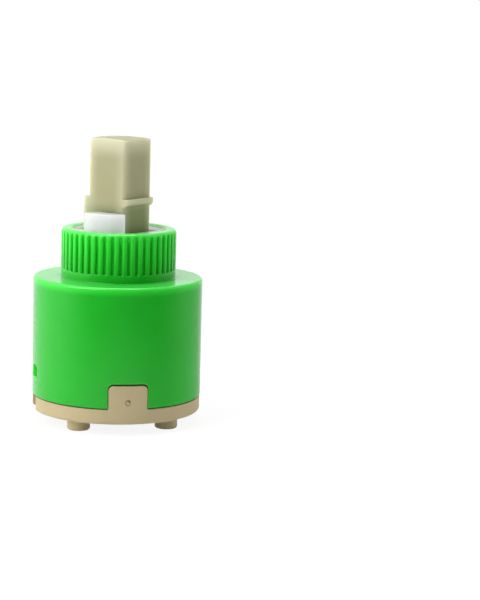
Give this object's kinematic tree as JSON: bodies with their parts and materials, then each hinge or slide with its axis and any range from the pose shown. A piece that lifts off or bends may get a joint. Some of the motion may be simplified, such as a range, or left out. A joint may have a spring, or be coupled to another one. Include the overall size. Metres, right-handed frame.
{
  "type": "tap cartridge",
  "caption": "Single-lever mixer cartridge: stepped round housing with knurled neck, square tilting stem, turning rotor, ceramic discs and a sealed base with locating pegs.",
  "frame": {"origin": "on the axis, at the plane of the base's underside", "axes": "+Z along the axis towards the stem, -Y towards the base's tab and the outlet, the inlets on -X and +X"},
  "size_m": [0.04, 0.04, 0.0674],
  "materials": {
    "housing_green": "moulded, glossy",
    "base_beige": "moulded, satin",
    "seal_black": "moulded rubber",
    "disc_ceramic": "lapped ceramic",
    "rotor_white": "moulded, slightly translucent",
    "stem_olive": "moulded, translucent",
    "pin_steel": "ground steel"
  },
  "bodies": {
    "casing": {"housing": "housing_green", "base": "base_beige", "port_seal": "seal_black", "disc_seal": "seal_black", "fixed_disc": "disc_ceramic", "glide_ring": "rotor_white"},
    "rotor": {"rotor": "rotor_white", "pivot_pin": "pin_steel"},
    "stem": {"stem": "stem_olive"},
    "slide": {"carrier": "rotor_white", "moving_disc": "disc_ceramic"}
  },
  "joints": [
    {"name": "rotor_turn", "type": "hinge", "parent": "casing", "child": "rotor", "pos_m": [0, 0, 0.036], "axis": [0, 0, 1], "range_deg": [-94.5, 5.5]},
    {"name": "stem_tilt", "type": "hinge", "parent": "rotor", "child": "stem", "pos_m": [0, 0, 0.038], "axis": [0.7133, 0.7009, 0], "range_deg": [-12.5, 12.5]},
    {"name": "disc_slide", "type": "slide", "parent": "rotor", "child": "slide", "axis": [0.7009, -0.7133, 0], "range_m": [-0.0042, 0.0042]}
  ],
  "couplings": [
    {"joint": "disc_slide", "follows": "stem_tilt", "m_per_rad": -0.01887}
  ]
}
